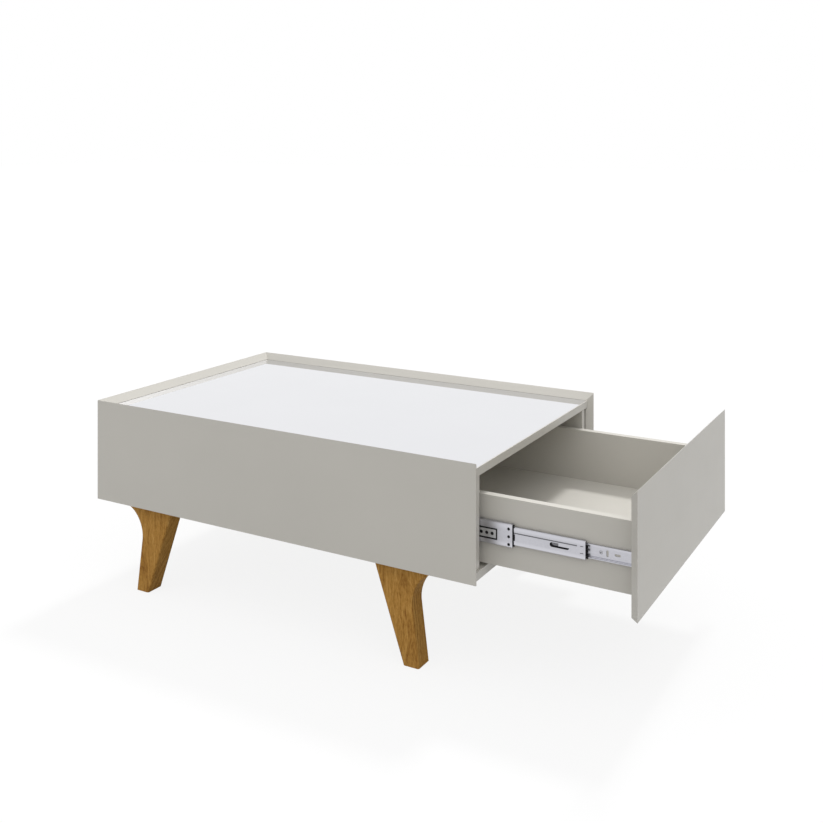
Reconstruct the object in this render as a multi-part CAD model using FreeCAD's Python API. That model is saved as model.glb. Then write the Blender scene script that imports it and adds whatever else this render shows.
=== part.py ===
"""Coffee table with a mirror top and a wide drawer that stands open on telescopic slides.

Millimetres, +Z up. The origin is on the floor, in the middle of the space that the table
covers with its drawer open. +X points to the drawer's end, and -Y to the front.
"""
import FreeCAD, Part
import math
import os

V = FreeCAD.Vector
along_x = V(1, 0, 0)
along_y = V(0, 1, 0)
along_z = V(0, 0, 1)

# Table
table_length = 920.0
table_width = 600.0
table_height = 403.0
body_height = 215.0

# Panels and boards
panel_thickness = 15.0
top_board_thickness = 12.0
bottom_board_thickness = 15.0
top_strip_thickness = 2.0
panel_end_flat = 2.0
carcass_setback = 8.0
top_setback = 1.8
side_board_thickness = 15.0
side_board_gap = 10.0
side_board_setback = 4.8
stop_board_thickness = 15.0
stop_board_gap = 7.0

# Mirror
mirror_thickness = 3.0
mirror_recess = 0.5
mirror_margin = 1.0
tape_thickness = 0.5
tape_width = 25.0
tape_end_inset = 50.0
tape_row_shares = (-0.8, -0.27, 0.27, 0.8)

# Legs
leg_thickness = 41.0
leg_inset = 23.0
left_foot_inset = 93.0
right_foot_inset = 128.0
foot_width = 33.5
inner_edge_lean = 66.0
flare_radius = 65.0
flare_reach = 50.0
flare_tip = 5.0
leg_edge_round = 4.0
leg_bolt_radius = 4.0
leg_bolt_depth = 30.0
leg_bolt_inset = 25.0
leg_bolt_pitch = 40.0
leg_bolt_cover = 2.0

# Drawer
drawer_opening = 283.0
drawer_depth = 520.0
drawer_board_thickness = 15.0
drawer_under_gap = 7.0
drawer_headroom = 38.0
face_thickness = 15.0
face_side_gap = 1.0
face_closed_gap = 1.0
floor_thickness = 6.0
floor_height = 10.0
groove_depth = 7.0
groove_clearance = 0.3

# Telescopic slides
slide_space = 12.0
slide_drop = 0.7
sheet = 1.0
running_gap = 0.3
cage_sheet = 0.5
cabinet_rail_height = 47.0
stage_1_height = 41.3
stage_2_height = 32.5
drawer_rail_height = 25.0
cabinet_flange = 9.0
stage_flange = 10.0
rail_lip = 0.6
bend_radius = 1.0
lip_bend_radius = 0.8
lip_edge_radius = 0.25
rail_setback = 20.0
rail_end_gap = 1.0
cabinet_rail_setback = 3.2
drawer_rail_gap = 0.5
stage_1_share = 0.211
stage_2_share = 0.689

# Ball cages
cage_length_share = 0.5
cage_1_inset = 14.0
cage_rear_bridge = 10.0
cage_1_bridge = 12.0
cage_2_bridge = 28.0
cage_3_bridge = 82.0
cage_2_overhang = 2.0
cage_2_tooth = 2.0
cage_2_tooth_shares = ((-1.0, -0.93), (-0.42, 0.19), (0.85, 1.0))
cage_3_setback = 4.0
cage_3_tooth = 8.4
cage_3_tooth_shares = ((-1.0, -0.54), (-0.3, 0.08), (0.27, 0.65), (0.88, 1.0))
cage_strip_width = 4.0
balls_per_strip = 6

# Details of the rails
end_hole_radius = 2.7
end_hole_inset = 7.0
end_hole_pitch = 13.7
window_length = 42.0
window_height = 20.5
window_inset = 29.1
window_drop = 1.8
latch_tray_rim = 2.8
latch_tray_floor = 0.3
latch_plate_thickness = 0.5
latch_hole_radius = 3.1
latch_hole_pitch = 10.7
latch_hole_shares = (-1.0, 0.0, 1.0)
slot_length = 36.0
slot_width = 8.2
slot_inset = 29.2
slot_drop = 0.8
tab_shift = 3.6
tab_rise = 3.4
tab_recess = 0.6
tab_recess_length = 16.0
lance_length = 6.0
lance_width = 1.0
lance_inset = 3.6
lance_pitch = 6.0
crease_width = 2.0
crease_depth = 0.7
crease_height = 5.8
crease_end_inset = 15.0
drawer_slot_length = 11.0
drawer_slot_width = 4.0
drawer_slot_inset = 34.5
drawer_upright_slot_inset = 52.5

# Fasteners
hole_clearance = 0.1
hole_end_gap = 0.5
dowel_radius = 3.0
dowel_panel_depth = 10.0
dowel_board_depth = 15.0
blind_hole_share = 0.6
cam_radius = 7.5
cam_height = 12.0
cam_inset = 24.0
cam_bolt_radius = 2.5
screw_radius = 1.75
screw_head_radius = 3.0
screw_depth = 11.0
drawer_screw_inset = 64.0
dowel_row_shares = (0.1, 0.4, 0.6, 0.9)
cam_row_shares = (0.3, 0.5, 0.7)
end_dowel_shares = (-0.7, 0.0, 0.7)
end_cam_shares = (-0.35, 0.35)
side_dowel_shares = (0.15, 0.45, 0.77)
dowel_height_shares = (0.3, 0.8)
screw_row_shares = (0.1, 0.37, 0.63, 0.9)
drawer_screw_shares = (0.4, 0.7, 0.95)

# Places along X
carcass_length = table_length - carcass_setback - panel_thickness
face_travel_out = face_closed_gap + drawer_opening + face_thickness
overall_length = table_length - carcass_setback + face_travel_out
table_left = -overall_length / 2
table_right = table_left + table_length
table_middle = (table_left + table_right) / 2
carcass_left = table_left + panel_thickness
carcass_right = table_right - carcass_setback
side_board_right = carcass_right - side_board_setback
face_inner = carcass_right + face_closed_gap + drawer_opening
drawer_rear = face_inner - drawer_depth
stop_board_right = drawer_rear - drawer_opening - stop_board_gap
top_strip_right = carcass_right - top_setback
top_board_right = top_strip_right - top_strip_thickness
rail_length = drawer_depth - rail_setback
cage_length = rail_length * cage_length_share

# Places along Y, as distances from the middle
panel_inner = table_width / 2 - panel_thickness
side_board_outer = panel_inner - side_board_gap
side_board_inner = side_board_outer - side_board_thickness
drawer_outer = side_board_inner - slide_space
drawer_inner = drawer_outer - drawer_board_thickness

# Places along Z
panel_bottom = table_height - body_height
bevel_bottom = table_height - panel_thickness
leg_height = panel_bottom
carcass_bottom = leg_height + bottom_board_thickness
mirror_top = bevel_bottom - mirror_recess
mirror_bottom = mirror_top - mirror_thickness
top_board_top = mirror_bottom - tape_thickness
carcass_top = top_board_top - top_board_thickness
drawer_bottom = carcass_bottom + drawer_under_gap
drawer_top = carcass_top - drawer_headroom
drawer_height = drawer_top - drawer_bottom
floor_bottom = drawer_bottom + floor_height
slide_middle = (drawer_bottom + drawer_top) / 2 - slide_drop


def box(x0, x1, y0, y1, z0, z1):
    """Block between two corners."""
    return Part.makeBox(x1 - x0, y1 - y0, z1 - z0, V(x0, y0, z0))


def mirrored(shape):
    """The same piece on the back half of the table."""
    return shape.mirror(V(0, 0, 0), along_y)


def both_halves(shapes):
    """The pieces of the front half and their mirror images."""
    return list(shapes) + [mirrored(shape) for shape in shapes]


def drilled(solid, holes):
    """A piece with holes cut into it."""
    return solid.cut(Part.makeCompound(list(holes)))


def export(name, *solids):
    """Write one node, as one solid or as a group of separate solids."""
    shape = solids[0] if len(solids) == 1 else Part.makeCompound(list(solids))
    shape.exportStep("parts/" + name + ".step")


def export_pair(name, solid):
    """Write a piece and its mirror image as two nodes."""
    export(name + "_front", solid)
    export(name + "_back", mirrored(solid))


def along(start, length, shares):
    """Places at shares of a length."""
    return [start + length * share for share in shares]


def peg(radius, joint, axis, below, above):
    """A round fastener across a joint face, and the hole that it sits in."""
    start = joint - axis * below
    solid = Part.makeCylinder(radius, below + above, start, axis)
    hole_length = below + above + 2 * hole_end_gap
    hole = Part.makeCylinder(radius + hole_clearance, hole_length, start - axis * hole_end_gap, axis)
    return solid, hole


def split(pegs):
    """Fasteners and holes as two lists."""
    return [solid for solid, hole in pegs], [hole for solid, hole in pegs]


def mitred_panel(length, height, thickness):
    """Panel with mitred ends and a bevelled top, its outer face on the XZ plane."""
    half = length / 2
    inner_half = half - thickness
    inner_height = height - thickness
    return Part.makeWedge(-half, 0, 0, 0, -inner_half, half, thickness, height, inner_height, inner_half)


def turned(shape, degrees, place):
    """A piece turned about the vertical and moved to its place."""
    moved = shape.copy()
    moved.rotate(V(0, 0, 0), along_z, degrees)
    moved.translate(place)
    return moved


# Dowels and cam locks round the carcass
board_middle = leg_height + bottom_board_thickness / 2
top_board_middle = carcass_top + top_board_thickness / 2
cam_bolt_reach = cam_inset - cam_radius - hole_end_gap


def long_edge_pegs(radius, shares, height, reach):
    """Fasteners from a board's front edge into the front panel."""
    return [
        peg(radius, V(x, -panel_inner, height), along_y, dowel_panel_depth, reach)
        for x in along(carcass_left, carcass_length, shares)
    ]


def end_edge_pegs(radius, shares, height, reach):
    """Fasteners from a board's left edge into the left end panel."""
    return [
        peg(radius, V(carcass_left, y, height), along_x, dowel_panel_depth, reach)
        for y in along(0, panel_inner, shares)
    ]


def cam(x, y):
    """A cam lock let into the underside of the bottom board, and its pocket."""
    place = V(x, y, leg_height)
    solid = Part.makeCylinder(cam_radius, cam_height, place)
    pocket = Part.makeCylinder(cam_radius + hole_clearance, cam_height + hole_clearance, place)
    return solid, pocket


front_dowels, front_dowel_holes = split(
    long_edge_pegs(dowel_radius, dowel_row_shares, board_middle, dowel_board_depth)
    + long_edge_pegs(dowel_radius, dowel_row_shares, top_board_middle, dowel_board_depth)
)
end_dowels, end_dowel_holes = split(
    end_edge_pegs(dowel_radius, end_dowel_shares, board_middle, dowel_board_depth)
    + end_edge_pegs(dowel_radius, end_dowel_shares, top_board_middle, dowel_board_depth)
)
front_bolts, front_bolt_holes = split(
    long_edge_pegs(cam_bolt_radius, cam_row_shares, board_middle, cam_bolt_reach)
)
end_bolts, end_bolt_holes = split(
    end_edge_pegs(cam_bolt_radius, end_cam_shares, board_middle, cam_bolt_reach)
)
front_cams, front_pockets = split(
    [cam(x, cam_inset - panel_inner) for x in along(carcass_left, carcass_length, cam_row_shares)]
)
end_cams, end_pockets = split(
    [cam(carcass_left + cam_inset, y) for y in along(0, panel_inner, end_cam_shares)]
)

# Dowels of the inner side boards and of the cross board
side_board_middle = (side_board_outer + side_board_inner) / 2
side_board_length = side_board_right - carcass_left
stop_board_middle = stop_board_right - stop_board_thickness / 2
carcass_height = carcass_top - carcass_bottom
side_places = along(carcass_left, side_board_length, side_dowel_shares)
bottom_dowel_depth = bottom_board_thickness * blind_hole_share
top_dowel_depth = top_board_thickness * blind_hole_share
stop_places = along(carcass_bottom, carcass_height, dowel_height_shares)
lower_joints = [V(x, -side_board_middle, carcass_bottom) for x in side_places]
upper_joints = [V(x, -side_board_middle, carcass_top) for x in side_places]
stop_joints = [V(stop_board_middle, -side_board_inner, z) for z in stop_places]
side_dowels, side_dowel_holes = split(
    [peg(dowel_radius, joint, along_z, bottom_dowel_depth, dowel_board_depth) for joint in lower_joints]
    + [peg(dowel_radius, joint, along_z, dowel_board_depth, top_dowel_depth) for joint in upper_joints]
)
stop_dowels, stop_dowel_holes = split(
    [peg(dowel_radius, joint, along_y, dowel_panel_depth, dowel_board_depth) for joint in stop_joints]
)


def leg():
    """Flat leg of a right-hand corner, with its foot's outer corner at the origin."""
    crown = leg_height - flare_tip
    centre = V(flare_reach, 0, crown - flare_radius)
    lean = math.atan2(centre.z, centre.x) + math.asin(flare_radius / centre.Length)
    straight = math.sqrt(centre.Length ** 2 - flare_radius ** 2)
    flare_start = V(math.cos(lean), 0, math.sin(lean)) * straight
    halfway = (lean + math.pi) / 2
    flare_middle = centre + V(math.cos(halfway), 0, math.sin(halfway)) * flare_radius
    flare_end = V(flare_reach, 0, crown)
    corners = [
        flare_end,
        V(flare_reach, 0, leg_height),
        V(-foot_width - inner_edge_lean, 0, leg_height),
        V(-foot_width, 0, 0),
        V(0, 0, 0),
        flare_start,
    ]
    edges = [Part.LineSegment(a, b).toShape() for a, b in zip(corners, corners[1:])]
    edges.append(Part.Arc(flare_start, flare_middle, flare_end).toShape())
    outline = Part.Wire(Part.__sortEdges__(edges))
    solid = Part.Face(outline).extrude(along_y * leg_thickness)
    long_edges = [edge for edge in solid.Edges if is_long_leg_edge(edge)]
    return solid.makeFillet(leg_edge_round, long_edges)


def is_long_leg_edge(edge):
    """True for the edges that run up the leg between its foot and its top."""
    box_of_edge = edge.BoundBox
    return box_of_edge.ZLength > flare_tip + leg_edge_round and box_of_edge.YLength < leg_edge_round


def leg_bolts(foot_x, side):
    """The two bolts between a front leg and the bottom board."""
    first = foot_width + inner_edge_lean - leg_bolt_inset
    y = leg_inset + leg_thickness / 2 - table_width / 2
    reach = bottom_board_thickness - leg_bolt_cover
    return [
        peg(leg_bolt_radius, V(foot_x - side * offset, y, leg_height), along_z, leg_bolt_depth, reach)
        for offset in (first, first - leg_bolt_pitch)
    ]


right_foot = table_right - right_foot_inset
left_foot = table_left + left_foot_inset
bolts, bolt_holes = split(leg_bolts(right_foot, 1) + leg_bolts(left_foot, -1))


def make_legs():
    """Four legs, mirrored to the left and to the back."""
    front = leg_inset - table_width / 2
    right = leg()
    left = right.mirror(V(0, 0, 0), along_x)
    right.translate(V(right_foot, front, 0))
    left.translate(V(left_foot, front, 0))
    for name, solid in (("right", right), ("left", left)):
        bored = drilled(solid, bolt_holes)
        export("leg_front_" + name, bored)
        export("leg_back_" + name, mirrored(bored))
    export("leg_bolts", *both_halves(bolts))


def make_panels():
    """Long panels, whose mitred right ends have a narrow flat, and the left end panel."""
    front = mitred_panel(table_length + panel_end_flat, body_height, panel_thickness)
    front = turned(front, 0, V(table_middle + panel_end_flat / 2, -table_width / 2, panel_bottom))
    tip = box(
        table_right, table_right + panel_end_flat, -table_width / 2, -panel_inner, panel_bottom, table_height
    )
    front = drilled(front, front_dowel_holes + front_bolt_holes + [tip])
    export("front_panel", front)
    export("back_panel", mirrored(front))
    end = mitred_panel(table_width, body_height, panel_thickness)
    end = turned(end, -90, V(table_left, 0, panel_bottom))
    export("left_end_panel", drilled(end, end_dowel_holes + end_bolt_holes))


def make_carcass():
    """Boards inside the panels, with their dowels and cam locks."""
    edge_holes = both_halves(front_dowel_holes + side_dowel_holes) + end_dowel_holes
    bolt_and_cam_holes = both_halves(front_bolt_holes + front_pockets + bolt_holes)
    bottom = box(carcass_left, carcass_right, -panel_inner, panel_inner, leg_height, carcass_bottom)
    export("bottom_board", drilled(bottom, edge_holes + bolt_and_cam_holes + end_bolt_holes + end_pockets))
    top = box(carcass_left, top_board_right, -panel_inner, panel_inner, carcass_top, top_board_top)
    export("top_board", drilled(top, edge_holes))
    strip = box(top_board_right, top_strip_right, -panel_inner, panel_inner, carcass_top, mirror_top)
    export("top_edge_strip", strip)
    side = box(
        carcass_left, side_board_right, -side_board_outer, -side_board_inner, carcass_bottom, carcass_top
    )
    screw_holes = [hole for solid, hole in cabinet_screws()]
    side = drilled(side, side_dowel_holes + stop_dowel_holes + screw_holes)
    export_pair("inner_side_board", side)
    stop = box(
        stop_board_right - stop_board_thickness, stop_board_right,
        -side_board_inner, side_board_inner, carcass_bottom, carcass_top,
    )
    export("cross_board", drilled(stop, both_halves(stop_dowel_holes)))
    export("panel_dowels", *both_halves(front_dowels), *end_dowels)
    export("carcass_dowels", *both_halves(side_dowels + stop_dowels))
    export("cam_locks", *both_halves(front_cams), *end_cams)
    export("cam_bolts", *both_halves(front_bolts), *end_bolts)


def make_mirror():
    """Mirror top behind the top board's edge strip, held down by strips of tape."""
    left = carcass_left + mirror_margin
    half = panel_inner - mirror_margin
    export("mirror_top", box(left, top_board_right, -half, half, mirror_bottom, mirror_top))
    strips = [
        box(
            left + tape_end_inset, top_board_right - tape_end_inset,
            y - tape_width / 2, y + tape_width / 2, top_board_top, mirror_bottom,
        )
        for y in along(0, half, tape_row_shares)
    ]
    export("mirror_tape", *strips)


# Slides: a place across the slide space is its distance from the inner side board.
# Each rail's web stands one cage and two running gaps inside the web before it.
web_step = sheet + cage_sheet + 2 * running_gap
stage_1_web = web_step
stage_2_web = 2 * web_step
drawer_flange_tip = stage_2_web + web_step
closed_end = carcass_right - rail_end_gap
stage_1_end = closed_end + stage_1_share * drawer_opening
stage_2_end = closed_end + stage_2_share * drawer_opening
drawer_rail_end = face_inner - drawer_rail_gap
cabinet_rail_end = side_board_right - cabinet_rail_setback
cabinet_rail_start = cabinet_rail_end - rail_length


def across(distance):
    """Y of a place in the front slide."""
    return distance - side_board_inner


def bent_outline(corners):
    """Closed outline with right-angled corners, each bent round to its own radius."""
    middle_share = 1 - math.sqrt(1 / 2)
    bends = []
    for index, (corner, radius) in enumerate(corners):
        back = corners[index - 1][0] - corner
        ahead = corners[(index + 1) % len(corners)][0] - corner
        back = back / back.Length * radius
        ahead = ahead / ahead.Length * radius
        bends.append((corner + back, corner + (back + ahead) * middle_share, corner + ahead))
    edges = []
    for index, (begin, middle, end) in enumerate(bends):
        edges.append(Part.LineSegment(bends[index - 1][2], begin).toShape())
        edges.append(Part.Arc(begin, middle, end).toShape())
    return Part.Wire(edges)


def channel(start, end, height, web, tips):
    """Rolled C-section rail: the places across the slide of its web and of its flange tips are given."""
    way = 1 if tips > web else -1
    half = height / 2
    lower = [
        (web, -half, bend_radius + sheet),
        (tips, -half, lip_bend_radius),
        (tips, -half + sheet + rail_lip, lip_edge_radius),
        (tips - way * sheet, -half + sheet + rail_lip, lip_edge_radius),
        (tips - way * sheet, -half + sheet, lip_edge_radius),
        (web + way * sheet, -half + sheet, bend_radius),
    ]
    upper = [(place, -z, radius) for place, z, radius in reversed(lower)]
    corners = [
        (V(start, across(place), slide_middle + z), radius) for place, z, radius in lower + upper
    ]
    return Part.Face(bent_outline(corners)).extrude(along_x * (end - start))


def through_web(x, z, radius):
    """Round hole right through the slide space."""
    return Part.makeCylinder(radius, slide_space, V(x, across(0), slide_middle + z), along_y)


def slot_through(x, length, width, upright):
    """Oblong hole right through the slide space."""
    radius = width / 2
    half = length / 2 - radius
    if upright:
        ends = [through_web(x, -half, radius), through_web(x, half, radius)]
        middle = web_window(x, width, 0, 2 * half)
    else:
        ends = [through_web(x - half, 0, radius), through_web(x + half, 0, radius)]
        middle = web_window(x, 2 * half, 0, width)
    return middle.fuse(ends)


def web_window(x, length, z, height):
    """Rectangular hole right through the slide space."""
    low = slide_middle + z - height / 2
    return box(x - length / 2, x + length / 2, across(0), across(slide_space), low, low + height)


def flush_screws(places, web, way):
    """Screws whose heads fill the holes of a rail's web, and the holes that they need."""
    screws = []
    for x in places:
        start = V(x, across(web), slide_middle)
        head = Part.makeCylinder(screw_head_radius, sheet, start, along_y * way)
        shank, hole = peg(screw_radius, start + along_y * way * sheet, along_y * way, 0, screw_depth)
        head_hole = Part.makeCylinder(screw_head_radius + hole_clearance, sheet, start, along_y * way)
        screws.append((head.fuse(shank), head_hole.fuse(hole)))
    return screws


def cabinet_screws():
    """Screws from the front cabinet rail into its inner side board."""
    return flush_screws(along(cabinet_rail_start, rail_length, screw_row_shares), sheet, -1)


def drawer_screws():
    """Screws from the front drawer rail into its drawer side."""
    places = along(drawer_rail_end, -rail_length, drawer_screw_shares)
    places.append(drawer_rail_end - drawer_screw_inset)
    return flush_screws(places, slide_space - sheet, 1)


def make_cabinet_rails():
    """The rails that stay in the carcass."""
    screws, holes = split(cabinet_screws())
    rail = channel(cabinet_rail_start, cabinet_rail_end, cabinet_rail_height, 0, cabinet_flange)
    export_pair("slide_cabinet_rail", drilled(rail, holes))
    export("cabinet_rail_screws", *both_halves(screws))


def make_stage_1():
    """The widest moving rails, with a plate in a black tray in their webs."""
    rail = channel(stage_1_end - rail_length, stage_1_end, stage_1_height, stage_1_web, stage_flange)
    hole_x = stage_1_end - end_hole_inset
    holes = [
        through_web(hole_x, row * end_hole_pitch - window_drop, end_hole_radius) for row in (-1, 0, 1)
    ]
    window_x = stage_1_end - window_inset - window_length / 2
    window = web_window(window_x, window_length, -window_drop, window_height)
    export_pair("slide_stage_1", drilled(rail, holes + [window]))
    tray = window_block(window_x, 0, stage_1_web, stage_1_web + sheet)
    tray_floor = stage_1_web + sheet - latch_tray_floor
    hollow = window_block(window_x, latch_tray_rim, stage_1_web, tray_floor)
    export("latch_trays", *both_halves([tray.cut(hollow)]))
    plate = window_block(window_x, latch_tray_rim, tray_floor - latch_plate_thickness, tray_floor)
    plate_holes = [
        through_web(x, -window_drop, latch_hole_radius)
        for x in along(window_x, latch_hole_pitch, latch_hole_shares)
    ]
    export("latch_plates", *both_halves([drilled(plate, plate_holes)]))


def window_block(x, rim, near, far):
    """Block in the web's window, inside a rim, between two places across the slide."""
    length = window_length - 2 * rim
    height = window_height - 2 * rim
    low = slide_middle - window_drop - height / 2
    return box(x - length / 2, x + length / 2, across(near), across(far), low, low + height)


def make_stage_2():
    """The middle moving rails: a crease, a slot with a stop tab pressed in at one end, and two lances."""
    rail = channel(stage_2_end - rail_length, stage_2_end, stage_2_height, stage_2_web, stage_flange)
    slot_x = stage_2_end - slot_inset - slot_length / 2
    slot = slot_through(slot_x, slot_length, slot_width, False)
    slot.translate(along_z * -slot_drop)
    tab = slot.copy()
    tab.translate(along_x * tab_shift + along_z * tab_rise)
    recess_end = slot_x - slot_length / 2 + tab_recess_length
    pressed = slot.common(tab).common(web_layer(recess_end, tab_recess))
    lance_x = stage_2_end - lance_inset - lance_length / 2
    lances = [web_window(lance_x, lance_length, row * lance_pitch, lance_width) for row in (-1, 1)]
    crease_low = slide_middle + crease_height - crease_width / 2
    crease = box(
        stage_2_end - rail_length, stage_2_end - crease_end_inset,
        across(stage_2_web), across(stage_2_web + crease_depth), crease_low, crease_low + crease_width,
    )
    export_pair("slide_stage_2", drilled(rail, [slot.cut(tab), pressed, crease] + lances))


def web_layer(end, depth):
    """The outer layer of the middle rail's web, up to a place along it."""
    half = stage_2_height / 2
    return box(
        stage_2_end - rail_length, end, across(stage_2_web), across(stage_2_web + depth),
        slide_middle - half, slide_middle + half,
    )


def make_drawer_rails():
    """The rails that are screwed to the drawer's sides."""
    screws, holes = split(drawer_screws())
    start = drawer_rail_end - rail_length
    rail = channel(start, drawer_rail_end, drawer_rail_height, slide_space, drawer_flange_tip)
    slots = [
        slot_through(drawer_rail_end - inset, drawer_slot_length, drawer_slot_width, upright)
        for inset, upright in ((drawer_slot_inset, False), (drawer_upright_slot_inset, True))
    ]
    export_pair("slide_drawer_rail", drilled(rail, holes + slots))
    export("drawer_rail_screws", *both_halves(screws))


def make_cage(number, front, bridge, outer_height, inner_height, web, ball_place, tooth, tooth_shares):
    """A black ball cage with teeth at its front, between two rails, and its balls."""
    outer = outer_height / 2 - sheet
    inner = inner_height / 2
    middle = (outer + inner) / 2
    radius = (outer - inner) / 2 - running_gap
    rear = front - cage_length
    low = middle - cage_sheet / 2
    high = middle + cage_sheet / 2
    tips = ball_place + cage_strip_width / 2
    pieces = []
    for z0, z1 in ((low, high), (-high, -low)):
        pieces.append(
            box(rear, front, across(web), across(tips), slide_middle + z0, slide_middle + z1)
        )
    for x0, x1 in ((front - bridge, front), (rear, rear + cage_rear_bridge)):
        pieces.append(
            box(x0, x1, across(web), across(web + cage_sheet), slide_middle - low, slide_middle + low)
        )
    for shares in tooth_shares:
        z0, z1 = along(slide_middle, low, shares)
        pieces.append(
            box(front - bridge, front + tooth, across(web), across(web + cage_sheet), z0, z1)
        )
    pitch = cage_length / balls_per_strip
    balls = []
    holes = []
    for index in range(balls_per_strip):
        x = rear + pitch * (index + 1 / 2)
        for z in (middle, -middle):
            centre = V(x, across(ball_place), slide_middle + z)
            balls.append(Part.makeSphere(radius, centre))
            pocket = Part.makeCylinder(radius + hole_clearance, 2 * radius, centre - along_z * radius)
            holes.append(pocket)
    cage = pieces[0].fuse(pieces[1:]).removeSplitter()
    export_pair("ball_cage_" + str(number), drilled(cage, holes))
    export("balls_" + str(number), *both_halves(balls))


def make_cages():
    """Ball cages between the cabinet rails, the two stages and the drawer rails."""
    first_web = sheet + running_gap
    lip_start = cabinet_flange - sheet
    make_cage(
        1, cabinet_rail_end - cage_1_inset, cage_1_bridge, cabinet_rail_height, stage_1_height,
        first_web, (stage_1_web + sheet + lip_start) / 2, 0, (),
    )
    stage_lip_start = stage_flange - sheet
    make_cage(
        2, stage_1_end + cage_2_overhang, cage_2_bridge, stage_1_height, stage_2_height,
        first_web + web_step, (stage_2_web + sheet + stage_lip_start) / 2,
        cage_2_tooth, cage_2_tooth_shares,
    )
    make_cage(
        3, stage_2_end - cage_3_setback, cage_3_bridge, stage_2_height, drawer_rail_height,
        first_web + 2 * web_step, (drawer_flange_tip + stage_lip_start) / 2,
        cage_3_tooth, cage_3_tooth_shares,
    )


def make_drawer():
    """Drawer box with a grooved-in floor and a mitred face as wide as the table."""
    board = drawer_board_thickness
    rear_inner = drawer_rear + board
    heights = along(drawer_bottom, drawer_height, dowel_height_shares)
    face_joints = [V(face_inner, board / 2 - drawer_outer, z) for z in heights]
    rear_joints = [V(drawer_rear + board / 2, -drawer_inner, z) for z in heights]
    dowels, dowel_holes = split(
        [peg(dowel_radius, joint, along_x, dowel_board_depth, dowel_panel_depth) for joint in face_joints]
        + [peg(dowel_radius, joint, along_y, dowel_panel_depth, dowel_board_depth) for joint in rear_joints]
    )
    floor_half = drawer_inner + groove_depth
    floor = box(
        rear_inner - groove_depth, face_inner + groove_depth, -floor_half, floor_half,
        floor_bottom, floor_bottom + floor_thickness,
    )
    groove = box(
        rear_inner - groove_depth - groove_clearance, face_inner + groove_depth + groove_clearance,
        -floor_half - groove_clearance, floor_half + groove_clearance,
        floor_bottom, floor_bottom + floor_thickness,
    )
    screw_holes = [hole for solid, hole in drawer_screws()]
    side = box(drawer_rear, face_inner, -drawer_outer, -drawer_inner, drawer_bottom, drawer_top)
    export_pair("drawer_side", drilled(side, dowel_holes + screw_holes + [groove]))
    rear = box(drawer_rear, rear_inner, -drawer_inner, drawer_inner, drawer_bottom, drawer_top)
    export("drawer_rear_board", drilled(rear, both_halves(dowel_holes) + [groove]))
    export("drawer_floor", floor)
    face = mitred_panel(table_width - 2 * face_side_gap, body_height, face_thickness)
    face = turned(face, 90, V(face_inner + face_thickness, 0, panel_bottom))
    export("drawer_face", drilled(face, both_halves(dowel_holes) + [groove]))
    export("drawer_dowels", *both_halves(dowels))


def main():
    """Write every piece of the table."""
    os.makedirs("parts", exist_ok=True)
    make_panels()
    make_carcass()
    make_mirror()
    make_legs()
    make_cabinet_rails()
    make_stage_1()
    make_stage_2()
    make_drawer_rails()
    make_cages()
    make_drawer()


main()
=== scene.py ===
"""Coffee table with a mirror top and a drawer on telescopic slides: finishes, fittings and studio.

The file is laid out as an add-on and run as a script. Lengths are metres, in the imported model's frame.
"""
import math

import bmesh
import bpy
from bpy.props import FloatProperty, FloatVectorProperty, PointerProperty
from mathutils import Matrix, Vector


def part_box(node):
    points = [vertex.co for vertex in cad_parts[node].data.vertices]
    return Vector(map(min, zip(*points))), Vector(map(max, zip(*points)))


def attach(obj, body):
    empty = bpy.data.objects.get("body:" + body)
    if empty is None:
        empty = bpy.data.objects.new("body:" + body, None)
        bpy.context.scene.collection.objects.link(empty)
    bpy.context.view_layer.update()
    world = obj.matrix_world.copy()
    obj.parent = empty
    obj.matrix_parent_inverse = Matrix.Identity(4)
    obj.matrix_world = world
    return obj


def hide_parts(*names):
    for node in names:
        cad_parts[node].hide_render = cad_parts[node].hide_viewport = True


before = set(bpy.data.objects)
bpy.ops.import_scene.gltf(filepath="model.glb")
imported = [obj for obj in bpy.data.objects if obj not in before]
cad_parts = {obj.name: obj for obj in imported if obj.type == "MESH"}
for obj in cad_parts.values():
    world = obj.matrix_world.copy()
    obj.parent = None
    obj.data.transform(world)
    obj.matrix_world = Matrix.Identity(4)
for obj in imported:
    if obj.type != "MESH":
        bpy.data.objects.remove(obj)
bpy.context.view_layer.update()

bl_info = {
    "name": "Coffee table finish",
    "version": (1, 0, 0),
    "blender": (4, 5, 0),
    "location": "View3D > Sidebar > Coffee table",
    "description": "Lacquer, oak, mirror, slides and studio of a coffee table with a drawer",
    "category": "Object",
}

LACQUERED = (
    "front_panel", "back_panel", "left_end_panel", "drawer_face",
    "top_board", "top_edge_strip", "bottom_board",
    "inner_side_board_front", "inner_side_board_back", "cross_board",
)
DRAWER_BOARDS = ("drawer_side_front", "drawer_side_back", "drawer_rear_board", "drawer_floor")
LEGS = ("leg_front_left", "leg_front_right", "leg_back_left", "leg_back_right")
RAILS = ("slide_cabinet_rail", "slide_stage_1", "slide_stage_2", "slide_drawer_rail")
PRESSED_RAIL = "slide_stage_2"
CAGE_NAMES = ("ball_cage_1", "ball_cage_2", "ball_cage_3")
BALL_SETS = ("balls_1", "balls_2", "balls_3")
HALVES = ("front", "back")

MILLIMETRE = 0.001
WELD_DISTANCE = 0.01 * MILLIMETRE
COPY_WELD_DISTANCE = 0.001 * MILLIMETRE
EASED_ANGLE = math.radians(40.0)
SMOOTH_ANGLE = math.radians(35.0)
SENSOR_WIDTH = 36.0

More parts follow.
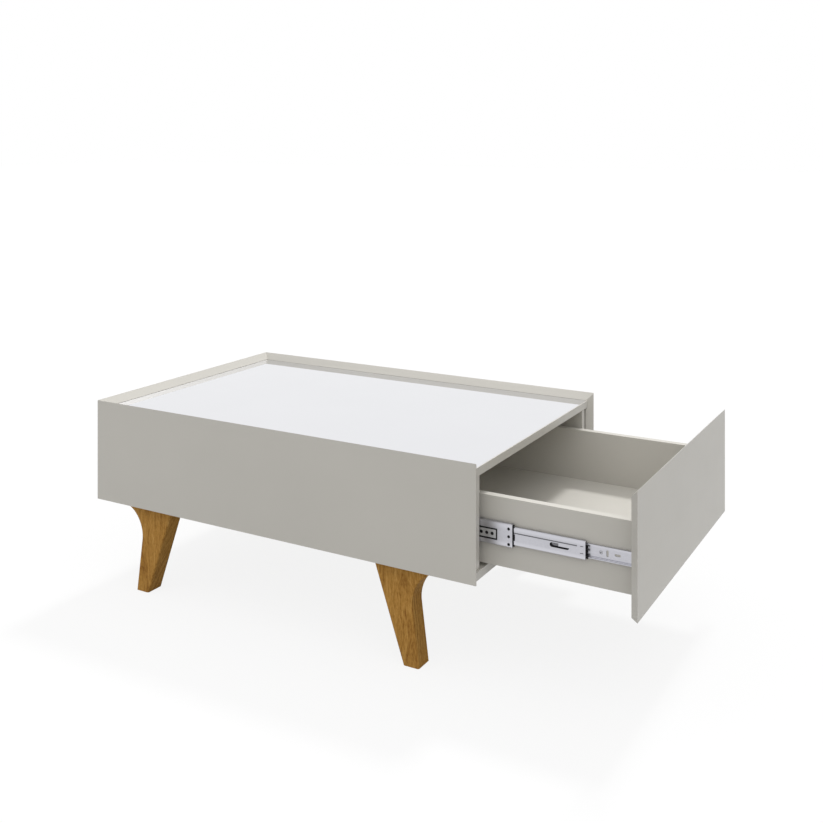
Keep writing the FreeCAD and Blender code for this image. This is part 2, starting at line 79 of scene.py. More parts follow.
# A screw's point, as shares of its shank's radius and of its reach, and its dome, as shares of its head's
# radius and rise
POINT_SHARES = ((0.0, 1.0), (0.35, 0.94), (1.0, 0.80))
DOME_SHARES = ((0.96, 0.25), (0.80, 0.68), (0.45, 0.94), (0.0, 1.0))
SHANK_SHARE = 0.58
RIM_SHARE = 0.1
FLUSH_HEAD_RISE = 0.1 * MILLIMETRE
SCREW_SIDES = 32
SCREW_SLOT_TAPER = 0.45

# A cam lock's eased edges and the rim round its sunk top, as shares of its radius
CAM_EASE_SHARE = 0.06
CAM_RIM_SHARES = (0.80, 0.76)
CAM_SIDES = 40
CAM_SLOT_TAPER = 0.7

# Part of a rail's half height that its flat web takes up, and the bands along its bent edges where a
# highlight is painted
WEB_SHARE = 0.7
HIGHLIGHT_STOPS = ((0.50, 0.0), (0.68, 0.8), (0.86, 1.0), (0.97, 0.0))
HIGHLIGHT_TONE = 1.12
# How dark the painted shade in the middle rail's pressed places is, as a share of the zinc's tone
PAINTED_SHADE_TONE = 0.30
ALONG_RAIL = (0.012, 1.0, 1.0)
NO_DRAW = (1.0, 1.0, 1.0)

# How far behind a leg's outer faces the heart of its trunk stands, in metres, and its lean per metre of
# height
HEART_DEPTHS = (0.060, 0.050)
HEART_LEANS = (0.10, 0.05)


def colour(name, text, default):
    """A linear colour that a user may change."""
    return FloatVectorProperty(
        name=name, description=text, subtype="COLOR", size=3, min=0.0, max=1.0, default=default
    )


def length(name, text, default):
    """A length in metres that a user may change."""
    return FloatProperty(
        name=name, description=text, subtype="DISTANCE", unit="LENGTH", min=0.0, default=default
    )


def number(name, text, default):
    """A plain number that a user may change."""
    return FloatProperty(name=name, description=text, min=0.0, default=default)


class FinishSettings(bpy.types.PropertyGroup):
    """Colours and gloss of the table's finishes."""

    lacquer: colour("Lacquer", "Satin lacquer of the panels and the carcass", (0.555, 0.536, 0.490))
    drawer: colour("Drawer boards", "Matt coating of the drawer's boards", (0.555, 0.536, 0.490))
    lacquer_roughness: number("Lacquer roughness", "Gloss of the lacquer, from 0, mirror-like, to 1", 0.36)
    drawer_roughness: number("Drawer roughness", "Gloss of the drawer's boards", 0.52)
    oak_dark: colour("Oak, dark", "Dark bands and pores of the legs", (0.225, 0.094, 0.019))
    oak_middle: colour("Oak, middle", "Main tone of the legs", (0.475, 0.246, 0.058))
    oak_light: colour("Oak, light", "Pale bands of the legs", (0.615, 0.352, 0.106))
    mirror: colour("Mirror", "Tint of the silvered glass", (0.790, 0.795, 0.822))
    steel: colour("Zinc", "Zinc coating of the rails", (0.555, 0.555, 0.597))
    latch: colour("Latch plate", "Dull zinc of the plates in the latch trays", (0.600, 0.600, 0.615))
    fastener: colour("Fasteners", "Zinc coating of screws and cam locks", (0.520, 0.520, 0.545))
    plastic: colour("Black plastic", "Ball cages and latch trays", (0.006, 0.006, 0.007))
    dowel: colour("Dowels", "Raw beech of the dowels", (0.600, 0.420, 0.200))
    tape: colour("Tape", "Foam tape under the mirror", (0.690, 0.690, 0.660))


class FormSettings(bpy.types.PropertyGroup):
    """Sizes of the small forms that the scene adds."""

    board_edge: length("Board edge", "Rounding of the boards' edges", 0.0004)
    # Painted shade darkens places pressed in deeper than this below the middle rail's web
    dirt_depth: length("Dirt depth", "How deep a pressed place in the middle rails gathers dirt", 0.0002)
    head_rise: length("Screw head", "How far a drawer screw's head stands out", 0.0008)
    recess_length: length("Recess length", "Length of a cross recess in a screw head", 0.0034)
    recess_width: length("Recess width", "Width of a cross recess in a screw head", 0.0009)
    recess_depth: length("Recess depth", "Depth of a cross recess in a screw head", 0.0012)
    cam_slot_length: length("Cam slot length", "Length of the cross slot in a cam lock", 0.0080)
    cam_slot_width: length("Cam slot width", "Width of the cross slot in a cam lock", 0.0016)
    cam_slot_depth: length("Cam slot depth", "Depth of the cross slot in a cam lock", 0.0030)


class StudioSettings(bpy.types.PropertyGroup):
    """Light, floor and camera."""

    key_strength: number("Key light", "Strength of the light from above and behind", 1.71)
    key_tilt: FloatProperty(
        name="Key tilt", description="Lean of the key light towards the back, from straight above",
        subtype="ANGLE", default=math.radians(33.0),
    )
    key_softness: FloatProperty(
        name="Key softness", description="Width of the key light as the table sees it",
        subtype="ANGLE", default=math.radians(9.0),
    )
    sky_left: number("Sky, left", "Light of the sky on the left, which fades to the right", 0.59)
    sky_right: number("Sky, right", "Light of the sky high up on the right, in front of the table", 3.61)
    floor_bounce: colour("Floor bounce", "Colour of the light that the floor throws back", (0.45, 0.45, 0.45))
    floor_colour: colour("Floor", "Colour of the floor as it is seen", (0.80, 0.80, 0.80))
    floor_glow: number("Floor white", "Share of plain white in the floor as it is seen", 0.86)
    floor_size: length("Floor size", "Width of the floor", 60.0)
    camera_place: FloatVectorProperty(
        name="Camera", description="Place of the camera", subtype="TRANSLATION", unit="LENGTH", size=3,
        default=(1.13593, -1.97303, 0.97439),
    )
    camera_turn: FloatProperty(
        name="Camera turn", description="Turn of the level camera about the vertical",
        subtype="ANGLE", default=math.radians(29.633),
    )
    camera_lens: number("Lens", "Focal length in millimetres on a 36 mm sensor", 46.306)
    camera_shift: FloatProperty(
        name="Camera shift", description="Rise of the level camera's frame, as a share of its width",
        default=-0.3312,
    )


class Shade:
    """An output of a finish's nodes. Sums on it add Math nodes."""

    def __init__(self, tree, output=None):
        self.tree = tree
        self.output = output

    def add(self, kind, settings=None, sockets=None, output=0):
        """A node of a type, with its settings, then the values or links of its sockets."""
        node = self.tree.nodes.new("ShaderNode" + kind)
        for name, value in (settings or {}).items():
            if name == "stops":
                self.set_stops(node.color_ramp.elements, value)
            else:
                setattr(node, name, value)
        for name, value in (sockets or {}).items():
            if isinstance(value, Shade):
                self.tree.links.new(value.output, node.inputs[name])
            else:
                node.inputs[name].default_value = value
        return Shade(self.tree, node.outputs[output] if len(node.outputs) else None)

    @staticmethod
    def set_stops(elements, stops):
        """Places and colours of a ramp's stops."""
        while len(elements) < len(stops):
            elements.new(1.0)
        for element, (place, tone) in zip(elements, stops):
            element.position = place
            element.color = tone

    def sum(self, operation, first, second):
        """One Math node."""
        return self.add("Math", {"operation": operation}, {0: first, 1: second})

    def __add__(self, other):
        return self.sum("ADD", self, other)

    def __radd__(self, other):
        return self.sum("ADD", other, self)

    def __sub__(self, other):
        return self.sum("SUBTRACT", self, other)

    def __rsub__(self, other):
        return self.sum("SUBTRACT", other, self)

    def __mul__(self, other):
        return self.sum("MULTIPLY", self, other)

    def __rmul__(self, other):
        return self.sum("MULTIPLY", other, self)

    def __lt__(self, other):
        return self.sum("LESS_THAN", self, other)

    def __gt__(self, other):
        return self.sum("GREATER_THAN", self, other)

    def __abs__(self):
        return self.add("Math", {"operation": "ABSOLUTE"}, {0: self})

    def split(self, vector):
        """The three parts of a place or a direction."""
        outputs = self.add("SeparateXYZ", None, {"Vector": vector}).output.node.outputs
        return [Shade(self.tree, output) for output in outputs]

    def mixed(self, first, second):
        """A colour between two others, by this share."""
        return self.add("Mix", {"data_type": "RGBA"}, {0: self, 6: first, 7: second}, 2)

    def noise(self, vector, scale, detail=2.0, roughness=0.5):
        """A cloudy value round 0.5 at places in metres."""
        sockets = {"Vector": vector, "Scale": scale, "Detail": detail, "Roughness": roughness}
        return self.add("TexNoise", None, sockets, "Fac")

    def stretched(self, vector, scale):
        """Places drawn out or squeezed along the axes."""
        return self.add("Mapping", None, {"Vector": vector, "Scale": scale})

    def upright(self, vector, share):
        """Places squeezed along Z, so that a pattern on them is drawn out upwards."""
        return self.stretched(vector, (1.0, 1.0, share))

    def ramp(self, *stops):
        """This value through a ramp of grey or colour stops."""
        full = [(place, solid(tone)) for place, tone in stops]
        return self.add("ValToRGB", {"stops": full}, {"Fac": self})


def solid(tone):
    """A grey or an RGB colour with full alpha."""
    if isinstance(tone, (int, float)):
        return (tone, tone, tone, 1.0)
    return (*tone, 1.0)


def scaled(tone, share):
    """A colour made lighter or darker."""
    return tuple(min(1.0, part * share) for part in tone)


def varied(middle, *swings):
    """A value round a middle, from cloudy values round 0.5 and how far each swings it in all."""
    value = middle - sum(swing for _, swing in swings) / 2
    for cloud, swing in swings:
        value = cloud * swing + value
    return value


def blank(owner):
    """The start of the nodes of a material or a world."""
    owner.use_nodes = True
    owner.node_tree.nodes.clear()
    return Shade(owner.node_tree)


def finish(name):
    """A new material, as the start of its nodes and the places on its surface."""
    material = bpy.data.materials.new(name)
    shade = blank(material)
    place = shade.add("TexCoord", None, None, "Object")
    return material, shade, place


def close_finish(shade, **sockets):
    """The shader that ends a finish."""
    named = {name.replace("_", " "): value for name, value in sockets.items()}
    shader = shade.add("BsdfPrincipled", None, named)
    shade.add("OutputMaterial", None, {"Surface": shader})


def bumped(shade, height, strength, depth):
    """Normals of a fine relief."""
    return shade.add("Bump", None, {"Height": height, "Strength": strength, "Distance": depth}, "Normal")


def painted(name, tone, roughness, relief):
    """Sprayed coat on board: faint clouds of tone, a fine skin and small changes of gloss."""
    material, shade, place = finish(name)
    clouds = shade.noise(place, scale=4.0, detail=3.0)
    specks = shade.noise(place, scale=2200.0, detail=1.0)
    skin = shade.noise(place, scale=620.0)
    smears = shade.noise(shade.upright(place, 2.5), scale=11.0, detail=4.0, roughness=0.6)
    tint = (clouds * 0.8 + specks * 0.2).ramp((0.3, scaled(tone, 0.975)), (0.7, scaled(tone, 1.02)))
    close_finish(
        shade, Base_Color=tint, Roughness=varied(roughness, (smears, 0.10), (skin, 0.04)), IOR=1.46,
        Normal=bumped(shade, skin * 0.8 + specks * 0.2, strength=relief, depth=0.2 * MILLIMETRE),
    )
    return material


def growth_rings(shade, place, sway):
    """Growth rings of a trunk whose heart stands behind each leg: arches on the face, lines on the sides."""
    low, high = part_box("leg_front_left")[0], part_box("leg_back_right")[1]
    across, out, up = shade.split(place)
    from_heart = {}
    for name, part, near, far, depth, lean in zip("XY", (across, out), low, high, HEART_DEPTHS, HEART_LEANS):
        from_middle = abs(part - (near + far) / 2)
        from_heart[name] = from_middle - ((far - near) / 2 - depth) + up * lean
    offset = shade.add("CombineXYZ", None, from_heart)
    radius = shade.add("VectorMath", {"operation": "LENGTH"}, {0: offset}, "Value")
    eddies = shade.noise(shade.upright(place, 0.5), scale=38.0, detail=1.0)
    bent = radius + sway * 0.014 + eddies * 0.010
    sockets = {"W": bent, "Scale": 260.0, "Detail": 2.0, "Roughness": 0.55}
    return shade.add("TexNoise", {"noise_dimensions": "1D"}, sockets, "Fac")


def oak(settings):
    """Oiled oak with its grain up the leg: growth rings, streaks, flecks, fibres and open pores."""
    material, shade, place = finish("oiled_oak")
    sway = shade.noise(shade.upright(place, 0.45), scale=16.0)
    drift = shade.add("CombineXYZ", None, {"X": sway * 0.016, "Y": sway * 0.011})
    grain = shade.add("VectorMath", {"operation": "ADD"}, {0: place, 1: drift})
    rings = growth_rings(shade, place, sway)
    streaks = shade.noise(shade.upright(grain, 0.035), scale=310.0, detail=3.0, roughness=0.60)
    flecks = shade.noise(shade.upright(grain, 0.35), scale=320.0, detail=3.0, roughness=0.70)
    fibres = shade.noise(shade.upright(grain, 0.025), scale=1050.0, roughness=0.60)
    pores = shade.noise(shade.upright(grain, 0.06), scale=1350.0, detail=1.0).ramp((0.60, 0.0), (0.70, 1.0))
    tone = varied(0.5, (rings, 0.42), (streaks, 0.36), (flecks, 0.46), (fibres, 0.30))
    wood = tone.ramp((0.28, settings.oak_dark), (0.50, settings.oak_middle), (0.72, settings.oak_light))
    tint = (pores * 0.50).mixed(wood, solid(settings.oak_dark))
    close_finish(
        shade, Base_Color=tint, Roughness=varied(0.64, (fibres, 0.16)) + pores * 0.14,
        IOR=1.40, Specular_IOR_Level=0.08,
        Normal=bumped(shade, fibres * 0.5 - pores * 0.5, strength=0.30, depth=0.4 * MILLIMETRE),
    )
    return material


def raw_wood(tone):
    """Raw beech of the dowels, with short flecks."""
    material, shade, place = finish("raw_beech")
    flecks = shade.noise(shade.upright(place, 0.3), scale=900.0)
    tint = flecks.ramp((0.35, scaled(tone, 0.75)), (0.65, scaled(tone, 1.08)))
    close_finish(
        shade, Base_Color=tint, Roughness=varied(0.7, (flecks, 0.2)),
        Normal=bumped(shade, flecks, strength=0.2, depth=0.2 * MILLIMETRE),
    )
    return material


def silvered_glass(tone):
    """Mirror with hardly seen smears and dust."""
    material, shade, place = finish("mirror_glass")
    smears = shade.noise(place, scale=7.0, detail=5.0, roughness=0.62)
    dust = shade.noise(place, scale=1500.0, detail=1.0).ramp((0.66, 0.0), (0.74, 1.0))
    tint = smears.ramp((0.3, scaled(tone, 0.985)), (0.7, tone))
    gloss = varied(0.0205, (smears, 0.025)) + dust * 0.05
    close_finish(shade, Base_Color=tint, Metallic=1.0, Roughness=gloss)
    return material


def zinc(name, tone, roughness, draw, rubbed=None, dirt=None):
    """Zinc-coated steel with draw marks along its length and faint spangle.

    Painted highlights along bends and painted shade in pressed places, where they are asked for, are
    functions that give 1 there.
    """
    material, shade, place = finish(name)
    marks = shade.noise(shade.stretched(place, draw), scale=2400.0, detail=3.0, roughness=0.6)
    stains = shade.noise(place, scale=34.0, detail=4.0, roughness=0.6)
    spangle = shade.add("TexVoronoi", None, {"Vector": place, "Scale": 420.0}, "Color")
    cells = shade.add("RGBToBW", None, {"Color": spangle})
    blotches = marks * 0.35 + stains * 0.45 + cells * 0.20
    tint = blotches.ramp((0.25, scaled(tone, 0.88)), (0.75, scaled(tone, 1.06)))
    # Painted highlight: lighter bands along the bends, where light catches them
    if rubbed:
        tint = rubbed(shade, place).mixed(tint, solid(scaled(tone, HIGHLIGHT_TONE)))
    # Painted shade: darker where the pressed places lie in shade
    if dirt:
        tint = dirt(shade, place).mixed(tint, solid(scaled(tone, PAINTED_SHADE_TONE)))
    close_finish(
        shade, Base_Color=tint, Metallic=1.0, Roughness=varied(roughness, (marks, 0.16), (stains, 0.08)),
        Normal=bumped(shade, marks, strength=0.12, depth=0.1 * MILLIMETRE),
    )
    return material


def moulded_plastic(tone):
    """Matt black plastic with a fine spark-eroded skin."""
    material, shade, place = finish("black_plastic_skin")
    skin = shade.noise(place, scale=3200.0)
    rub = shade.noise(place, scale=90.0, detail=3.0)
    tint = rub.ramp((0.35, tone), (0.75, scaled(tone, 1.9)))
    close_finish(
        shade, Base_Color=tint, Roughness=varied(0.59, (skin, 0.14), (rub, 0.12)), Specular_IOR_Level=0.15,
        Normal=bumped(shade, skin, strength=0.25, depth=0.1 * MILLIMETRE),
    )
    return material


def foam(tone):
    """White foam of the tape under the mirror."""
    material, shade, place = finish("foam_tape")
    cells = shade.noise(place, scale=1400.0)
    tint = cells.ramp((0.3, scaled(tone, 0.9)), (0.7, tone))
    close_finish(
        shade, Base_Color=tint, Roughness=varied(0.85, (cells, 0.1)),
        Normal=bumped(shade, cells, strength=0.4, depth=0.2 * MILLIMETRE),
    )
    return material


def dress(names, material):
    """Give CAD nodes a finish."""
    for name in names:
        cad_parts[name].material_slots[0].material = material


def soften(names, width):
    """Round the edges of CAD boards a little, so that they catch the light."""
    for name in names:
        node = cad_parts[name]
        weld = node.modifiers.new("joined faces", "WELD")
        weld.merge_threshold = WELD_DISTANCE
        edge = node.modifiers.new("eased edges", "BEVEL")
        edge.width = width
        edge.segments = 2
        edge.limit_method = "ANGLE"
        edge.angle_limit = EASED_ANGLE
        edge.use_clamp_overlap = True


def halves(names):
    """The front and back nodes of pieces that come in pairs."""
    return [name + "_" + half for name in names for half in HALVES]


def separate_boxes(name):
    """The corners of each separate solid in a CAD node."""
    shape = bmesh.new()
    shape.from_mesh(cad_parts[name].data)
    bmesh.ops.remove_doubles(shape, verts=shape.verts, dist=WELD_DISTANCE)
    waiting = set(shape.verts)
    boxes = []
    while waiting:
        reached = [waiting.pop()]
        for vertex in reached:
            near = [edge.other_vert(vertex) for edge in vertex.link_edges]
            fresh = [other for other in near if other in waiting]
            waiting.difference_update(fresh)
            reached.extend(fresh)
        places = [vertex.co.copy() for vertex in reached]
        low = Vector(min(place[axis] for place in places) for axis in range(3))
        high = Vector(max(place[axis] for place in places) for axis in range(3))
        boxes.append((low, high))
    shape.free()
    return sorted(boxes, key=lambda corners: tuple(corners[0]))


def lathe(name, outline, sides):
    """A round piece about Z from radii and heights, closed at both ends."""
    shape = bmesh.new()
    rings = []
    for radius, height in outline:
        count = sides if radius > 0.0 else 1
        turns = [2.0 * math.pi * step / count for step in range(count)]
        spots = [(radius * math.cos(turn), radius * math.sin(turn), height) for turn in turns]
        rings.append([shape.verts.new(spot) for spot in spots])
    for lower, upper in zip(rings, rings[1:]):
        for step in range(sides):
            corners = [
                lower[step % len(lower)], lower[(step + 1) % len(lower)],
                upper[(step + 1) % len(upper)], upper[step % len(upper)],
            ]
            shape.faces.new(list(dict.fromkeys(corners)))
    bmesh.ops.recalc_face_normals(shape, faces=shape.faces)
    return loose_object(name, shape)


def tapered_bar(name, size, foot, turn):
    """A bar for cutting a slot, from below Z 0 to as far above it, narrowed at its foot to a share."""
    shape = bmesh.new()
    bmesh.ops.create_cube(shape, size=1.0)
    for vertex in shape.verts:
        narrow = foot if vertex.co.z < 0.0 else 1.0
        height = -size.z if vertex.co.z < 0.0 else size.z
        vertex.co = (vertex.co.x * size.x * narrow, vertex.co.y * size.y * narrow, height)
    bmesh.ops.rotate(shape, verts=shape.verts, matrix=Matrix.Rotation(turn, 3, "Z"))
    return loose_object(name, shape)


def loose_object(name, shape):
    """An object in the scene from a shape that is then freed."""
    mesh = bpy.data.meshes.new(name)
    shape.to_mesh(mesh)
    shape.free()
    piece = bpy.data.objects.new(name, mesh)
    bpy.context.scene.collection.objects.link(piece)
    return piece


def carved(piece, cutters):
    """The mesh of a piece with cutters taken out of it; all of them leave the scene."""
    for cutter in cutters:
        cut = piece.modifiers.new(cutter.name, "BOOLEAN")
        cut.operation = "DIFFERENCE"
        cut.solver = "EXACT"
        cut.object = cutter
    bpy.context.view_layer.update()
    mesh = bpy.data.meshes.new_from_object(piece.evaluated_get(bpy.context.evaluated_depsgraph_get()))
    for loose in [piece, *cutters]:
        bpy.data.objects.remove(loose)
    return mesh


def copies(name, mesh, places):
    """One object of copies of a mesh, shaded smooth between its sharp edges."""
    shape = bmesh.new()
    for place in places:
        known = set(shape.verts)
        shape.from_mesh(mesh)
        fresh = [vertex for vertex in shape.verts if vertex not in known]
        bmesh.ops.transform(shape, matrix=place, verts=fresh)
    bmesh.ops.remove_doubles(shape, verts=shape.verts, dist=COPY_WELD_DISTANCE)
    for face in shape.faces:
        face.smooth = True
    piece = loose_object(name, shape)
    piece.data.set_sharp_from_angle(angle=SMOOTH_ANGLE)
    return piece


def cross_cutters(size, foot):
    """Two crossed bars."""
    return [tapered_bar("slot_" + str(turn), size, foot, turn * math.pi / 2) for turn in (0, 1)]


def facing(place, direction):
    """A turn and a move that point a lathed piece's top in a direction."""
    turn = Vector((0.0, 0.0, 1.0)).rotation_difference(direction).to_matrix().to_4x4()
    return Matrix.Translation(place) @ turn


def stand_in(piece, node, body, steel):
    """Put a steel piece in the place of a CAD node, on the node's body."""
    piece.data.materials.clear()
    piece.data.materials.append(steel)
    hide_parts(node)
    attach(piece, body)


class FinishOperator:
    """What the operators share."""

    bl_options = {"REGISTER", "UNDO"}


class LacquerBoards(FinishOperator, bpy.types.Operator):
    """Lacquer the panels, the carcass and the drawer's face, and ease their edges"""

    bl_idname = "coffee_table.lacquer_boards"
    bl_label = "Lacquered boards"

    def execute(self, context):
        settings = context.scene.coffee_table_finish
        coat = painted("satin_lacquer", settings.lacquer, settings.lacquer_roughness, relief=0.06)
        dress(LACQUERED, coat)
        soften(LACQUERED, context.scene.coffee_table_form.board_edge)
        return {"FINISHED"}


class CoatDrawer(FinishOperator, bpy.types.Operator):
    """Coat the drawer's boards and ease their edges"""

    bl_idname = "coffee_table.coat_drawer"
    bl_label = "Drawer boards"

    def execute(self, context):
        settings = context.scene.coffee_table_finish
        coat = painted("matt_drawer_coat", settings.drawer, settings.drawer_roughness, relief=0.10)
        dress(DRAWER_BOARDS, coat)
        soften(DRAWER_BOARDS, context.scene.coffee_table_form.board_edge)
        return {"FINISHED"}


class SilverMirror(FinishOperator, bpy.types.Operator):
    """Silver the mirror top and give its tape a foam finish"""

    bl_idname = "coffee_table.silver_mirror"
    bl_label = "Mirror top"

    def execute(self, context):
        settings = context.scene.coffee_table_finish
        dress(["mirror_top"], silvered_glass(settings.mirror))
        dress(["mirror_tape"], foam(settings.tape))
        return {"FINISHED"}


class OilLegs(FinishOperator, bpy.types.Operator):
    """Give the legs oiled oak"""

    bl_idname = "coffee_table.oil_legs"
    bl_label = "Oak legs"

    def execute(self, context):
        dress(LEGS, oak(context.scene.coffee_table_finish))
        return {"FINISHED"}


class CoatRails(FinishOperator, bpy.types.Operator):
    """Coat the slides' rails, balls and latch plates with zinc, with painted highlights along the rails'
    bends and painted shade in what is pressed in
    """

    bl_idname = "coffee_table.coat_rails"
    bl_label = "Slide rails"

    def execute(self, context):
        settings = context.scene.coffee_table_finish
        for rail in RAILS:
            # Painted highlights along every rail's bends, and painted shade in the middle rail's pressed
            # places
            rubbed = self.rubbed_bands(rail)
            dirt = self.pressed_places(context.scene.coffee_table_form) if rail == PRESSED_RAIL else None
            name = rail + "_zinc"
            coat = zinc(name, settings.steel, roughness=0.34, draw=ALONG_RAIL, rubbed=rubbed, dirt=dirt)
            dress(halves([rail]), coat)
        dress(["latch_plates"], zinc("latch_zinc", settings.latch, roughness=0.42, draw=ALONG_RAIL))
        dress(BALL_SETS, zinc("polished_balls", settings.steel, roughness=0.2, draw=NO_DRAW))
        return {"FINISHED"}

    @staticmethod
    def height_from_middle(up, low, high):
        """How far up or down from a rail's middle, as a share of half its height."""
        middle, half = (low[2] + high[2]) / 2, (high[2] - low[2]) / 2
        return abs((up - middle) * (1.0 / half))

    def rubbed_bands(self, rail):
        """A function that gives 1 in the bands along a rail's bent edges, where a highlight is painted."""
        low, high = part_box(rail + "_front")

        def rubbed(shade, place):
            up = shade.split(place)[2]
            return self.height_from_middle(up, low, high).ramp(*HIGHLIGHT_STOPS)

        return rubbed

    def pressed_places(self, form):
        """A function that gives 1 in the crease, the pressed end of the stop tab and the lances, where shade
        is painted.
        """
        low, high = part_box(PRESSED_RAIL + "_front")
        face = -low[1]

        def dirt(shade, place):
            _, out, up = shade.split(place)
            # Painted shade in the crease, the stop tab's pressed end and the lances, within the web
            pressed = abs(out) < face - form.dirt_depth
            web = self.height_from_middle(up, low, high) < WEB_SHARE
            return pressed * web

        return dirt


class MouldCages(FinishOperator, bpy.types.Operator):
    """Give the ball cages and latch trays black plastic"""

    bl_idname = "coffee_table.mould_cages"
    bl_label = "Ball cages"

    def execute(self, context):
        skin = moulded_plastic(context.scene.coffee_table_finish.plastic)
        dress(halves(CAGE_NAMES) + ["latch_trays"], skin)
        return {"FINISHED"}


class CutScrews(FinishOperator, bpy.types.Operator):
    """Make the rails' screws with cross recesses"""

    bl_idname = "coffee_table.cut_screws"
    bl_label = "Rail screws"

    def execute(self, context):
        form = context.scene.coffee_table_form
        tone = context.scene.coffee_table_finish.fastener
        steel = zinc("screw_zinc", tone, roughness=0.36, draw=NO_DRAW)
        self.make(form, steel, "drawer_rail_screws", "drawer", rise=form.head_rise, outward=1.0)
        self.make(form, steel, "cabinet_rail_screws", "table", rise=FLUSH_HEAD_RISE, outward=-1.0)
        return {"FINISHED"}

    @staticmethod
    def make(form, steel, node, body, rise, outward):
        """Screws in the place of a CAD node's; their heads look away from the middle where outward is 1."""
        boxes = separate_boxes(node)
        low, high = boxes[0]
        reach = high.y - low.y
        head = (high.z - low.z) / 2
        shank = head * SHANK_SHARE
        sheet = MILLIMETRE
        outline = [(shank * radius, -reach * depth) for radius, depth in POINT_SHARES]
        outline += [(shank, -sheet), (head, -sheet), (head, -sheet * RIM_SHARE)]
        outline += [(head * radius, rise * height) for radius, height in DOME_SHARES]
        size = Vector((form.recess_length, form.recess_width, form.recess_depth))
        mesh = carved(lathe("screw", outline, SCREW_SIDES), cross_cutters(size, SCREW_SLOT_TAPER))
        places = []
        for low, high in boxes:
            side = -1.0 if low.y < 0.0 else 1.0
            away = side * outward
            face = high.y if away > 0.0 else low.y
            middle = (low + high) / 2
            places.append(facing(Vector((middle.x, face, middle.z)), Vector((0.0, away, 0.0))))
        stand_in(copies(node + "_crossed", mesh, places), node, body, steel)


class FitCarcass(FinishOperator, bpy.types.Operator):
    """Make the slotted cam locks and finish the bolts and dowels of the carcass"""

    bl_idname = "coffee_table.fit_carcass"
    bl_label = "Carcass fittings"

    def execute(self, context):
        settings = context.scene.coffee_table_finish
        form = context.scene.coffee_table_form
        steel = zinc("cast_zinc", settings.fastener, roughness=0.45, draw=NO_DRAW)
        boxes = separate_boxes("cam_locks")
        low, high = boxes[0]
        radius = (high.x - low.x) / 2
        height = high.z - low.z
        eased = radius * CAM_EASE_SHARE
        rim, sunk = [radius * share for share in CAM_RIM_SHARES]
        outline = [
            (0.0, -height), (radius - eased, -height), (radius, eased - height), (radius, -eased),
            (radius - eased, 0.0), (rim, 0.0), (sunk, -eased), (0.0, -eased),
        ]
        size = Vector((form.cam_slot_length, form.cam_slot_width, form.cam_slot_depth))
        mesh = carved(lathe("cam", outline, CAM_SIDES), cross_cutters(size, CAM_SLOT_TAPER))
        down = Vector((0.0, 0.0, -1.0))
        places = []
        for low, high in boxes:
            middle = (low + high) / 2
            places.append(facing(Vector((middle.x, middle.y, low.z)), down))
        stand_in(copies("cam_locks_slotted", mesh, places), "cam_locks", "table", steel)
        dress(["cam_bolts", "leg_bolts"], steel)
        dress(["panel_dowels", "carcass_dowels", "drawer_dowels"], raw_wood(settings.dowel))
        return {"FINISHED"}


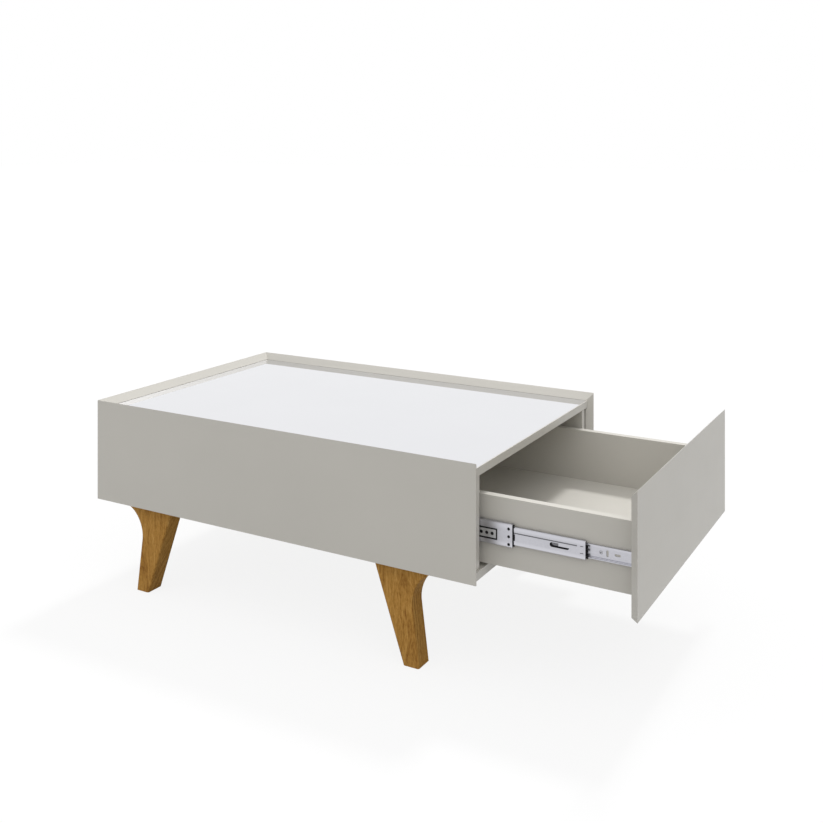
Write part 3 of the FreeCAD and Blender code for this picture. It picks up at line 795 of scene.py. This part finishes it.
class SetStage(FinishOperator, bpy.types.Operator):
    """Set up the floor, the light and the camera"""

    bl_idname = "coffee_table.set_stage"
    bl_label = "Stage"

    def execute(self, context):
        studio = context.scene.coffee_table_studio
        context.scene.view_settings.view_transform = "Standard"
        self.lay_floor(studio)
        self.light(context.scene, studio)
        self.place_camera(context.scene, studio)
        return {"FINISHED"}

    @staticmethod
    def seen_rays(shade):
        """1 for the rays that show the stage itself: seen, mirrored or through glass."""
        path = shade.add("LightPath").output.node.outputs
        names = ("Is Camera Ray", "Is Glossy Ray", "Is Transmission Ray")
        seen, mirrored, through = [Shade(shade.tree, path[name]) for name in names]
        return shade.add("Math", {"operation": "ADD", "use_clamp": True}, {0: seen + mirrored, 1: through})

    def lay_floor(self, studio):
        """A pale floor that keeps the table's shadow."""
        shape = bmesh.new()
        bmesh.ops.create_grid(shape, x_segments=1, y_segments=1, size=studio.floor_size / 2)
        floor = loose_object("floor", shape)
        material = bpy.data.materials.new("floor")
        shade = blank(material)
        bounce = shade.add("BsdfDiffuse", None, {"Color": solid(studio.floor_bounce)})
        matt = shade.add("BsdfDiffuse", None, {"Color": solid(studio.floor_colour)})
        white = shade.add("Emission", None, {"Color": solid(1.0), "Strength": 1.0})
        seen = shade.add("MixShader", None, {0: studio.floor_glow, 1: matt, 2: white})
        mixed = shade.add("MixShader", None, {0: self.seen_rays(shade), 1: bounce, 2: seen})
        shade.add("OutputMaterial", None, {"Surface": mixed})
        floor.data.materials.append(material)

    def light(self, scene, studio):
        """A soft key from above and behind, and a sky that lights the sides and is seen as white."""
        lamp = bpy.data.lights.new("key", "SUN")
        lamp.energy = studio.key_strength
        lamp.angle = studio.key_softness
        key = bpy.data.objects.new("key", lamp)
        key.rotation_euler = (-studio.key_tilt, 0.0, 0.0)
        scene.collection.objects.link(key)
        scene.world = bpy.data.worlds.new("studio")
        shade = blank(scene.world)
        right, back, up = shade.split(shade.add("TexCoord", None, None, "Generated"))
        brightest = studio.sky_left + studio.sky_right
        left_share = (1.0 - right) * (studio.sky_left / brightest / 2)
        right_share = (1.0 + right) * (1.0 - back) * up * (studio.sky_right / brightest / 4)
        share = left_share + right_share
        dark = shade.add("Background", None, {"Color": solid(0.0), "Strength": 0.0})
        bright = shade.add("Background", None, {"Color": solid(1.0), "Strength": brightest})
        sky = shade.add("MixShader", None, {0: share, 1: dark, 2: bright})
        white = shade.add("Background", None, {"Color": solid(1.0), "Strength": 1.0})
        mixed = shade.add("MixShader", None, {0: self.seen_rays(shade), 1: sky, 2: white})
        shade.add("OutputWorld", None, {"Surface": mixed})

    @staticmethod
    def place_camera(scene, studio):
        """A level camera with a lowered frame."""
        lens = bpy.data.cameras.new("camera")
        lens.sensor_width = SENSOR_WIDTH
        lens.lens = studio.camera_lens
        lens.shift_y = studio.camera_shift
        camera = bpy.data.objects.new("camera", lens)
        camera.location = studio.camera_place
        camera.rotation_euler = (math.pi / 2, 0.0, studio.camera_turn)
        scene.collection.objects.link(camera)
        scene.camera = camera


OPERATORS = (
    LacquerBoards, CoatDrawer, SilverMirror, OilLegs, CoatRails, MouldCages, CutScrews, FitCarcass, SetStage
)


class CoffeeTablePanel(bpy.types.Panel):
    """Lists the table's settings and steps"""

    bl_idname = "VIEW3D_PT_coffee_table"
    bl_label = "Coffee table"
    bl_space_type = "VIEW_3D"
    bl_region_type = "UI"
    bl_category = "Coffee table"

    def draw(self, context):
        scene = context.scene
        for settings in (scene.coffee_table_finish, scene.coffee_table_form, scene.coffee_table_studio):
            column = self.layout.column()
            for name in settings.bl_rna.properties.keys():
                if name not in ("rna_type", "name"):
                    column.prop(settings, name)
        for operator in OPERATORS:
            self.layout.operator(operator.bl_idname)


CLASSES = (FinishSettings, FormSettings, StudioSettings, *OPERATORS, CoffeeTablePanel)


def register():
    """Register the classes and hang the settings on the scene."""
    for item in CLASSES:
        bpy.utils.register_class(item)
    bpy.types.Scene.coffee_table_finish = PointerProperty(type=FinishSettings)
    bpy.types.Scene.coffee_table_form = PointerProperty(type=FormSettings)
    bpy.types.Scene.coffee_table_studio = PointerProperty(type=StudioSettings)


def unregister():
    """Take the settings and the classes away."""
    del bpy.types.Scene.coffee_table_studio
    del bpy.types.Scene.coffee_table_form
    del bpy.types.Scene.coffee_table_finish
    for item in reversed(CLASSES):
        bpy.utils.unregister_class(item)


def main():
    """Run every step."""
    register()
    for operator in OPERATORS:
        group, step = operator.bl_idname.split(".")
        getattr(getattr(bpy.ops, group), step)()


if __name__ == "__main__":
    main()
